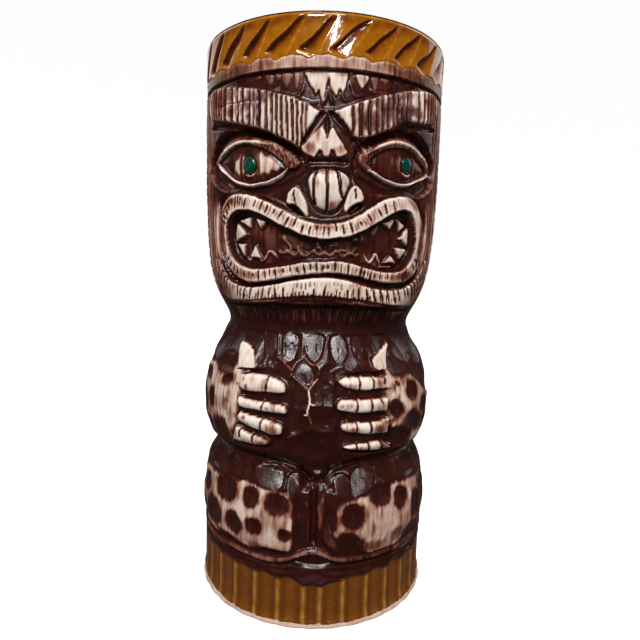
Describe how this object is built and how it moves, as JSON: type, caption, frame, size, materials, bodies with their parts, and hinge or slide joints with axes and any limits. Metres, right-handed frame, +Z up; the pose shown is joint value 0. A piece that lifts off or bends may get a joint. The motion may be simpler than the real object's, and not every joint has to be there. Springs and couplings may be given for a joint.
{
  "type": "tiki mug",
  "caption": "Tall ceramic tiki mug carved as a standing figure with a wide grinning face, amber-glazed rope rim and fluted foot, open at the top",
  "frame": {"origin": "centre of the foot ring, on the plane the mug stands on", "axes": "+Z up along the mug's axis to the open rim, -Y out of the face, +X to the right as one looks at the face"},
  "size_m": [0.0776, 0.0789, 0.175],
  "materials": {
    "stained_clay": "satin",
    "amber_glaze": "gloss",
    "foot_glaze": "gloss",
    "liner_glaze": "gloss",
    "green_enamel": "gloss"
  },
  "bodies": {
    "root": {"clay_body": "stained_clay", "rim_glaze": "amber_glaze", "foot_glaze": "foot_glaze", "liner_glaze": "liner_glaze", "left_pupil_enamel": "green_enamel", "right_pupil_enamel": "green_enamel"}
  },
  "joints": []
}
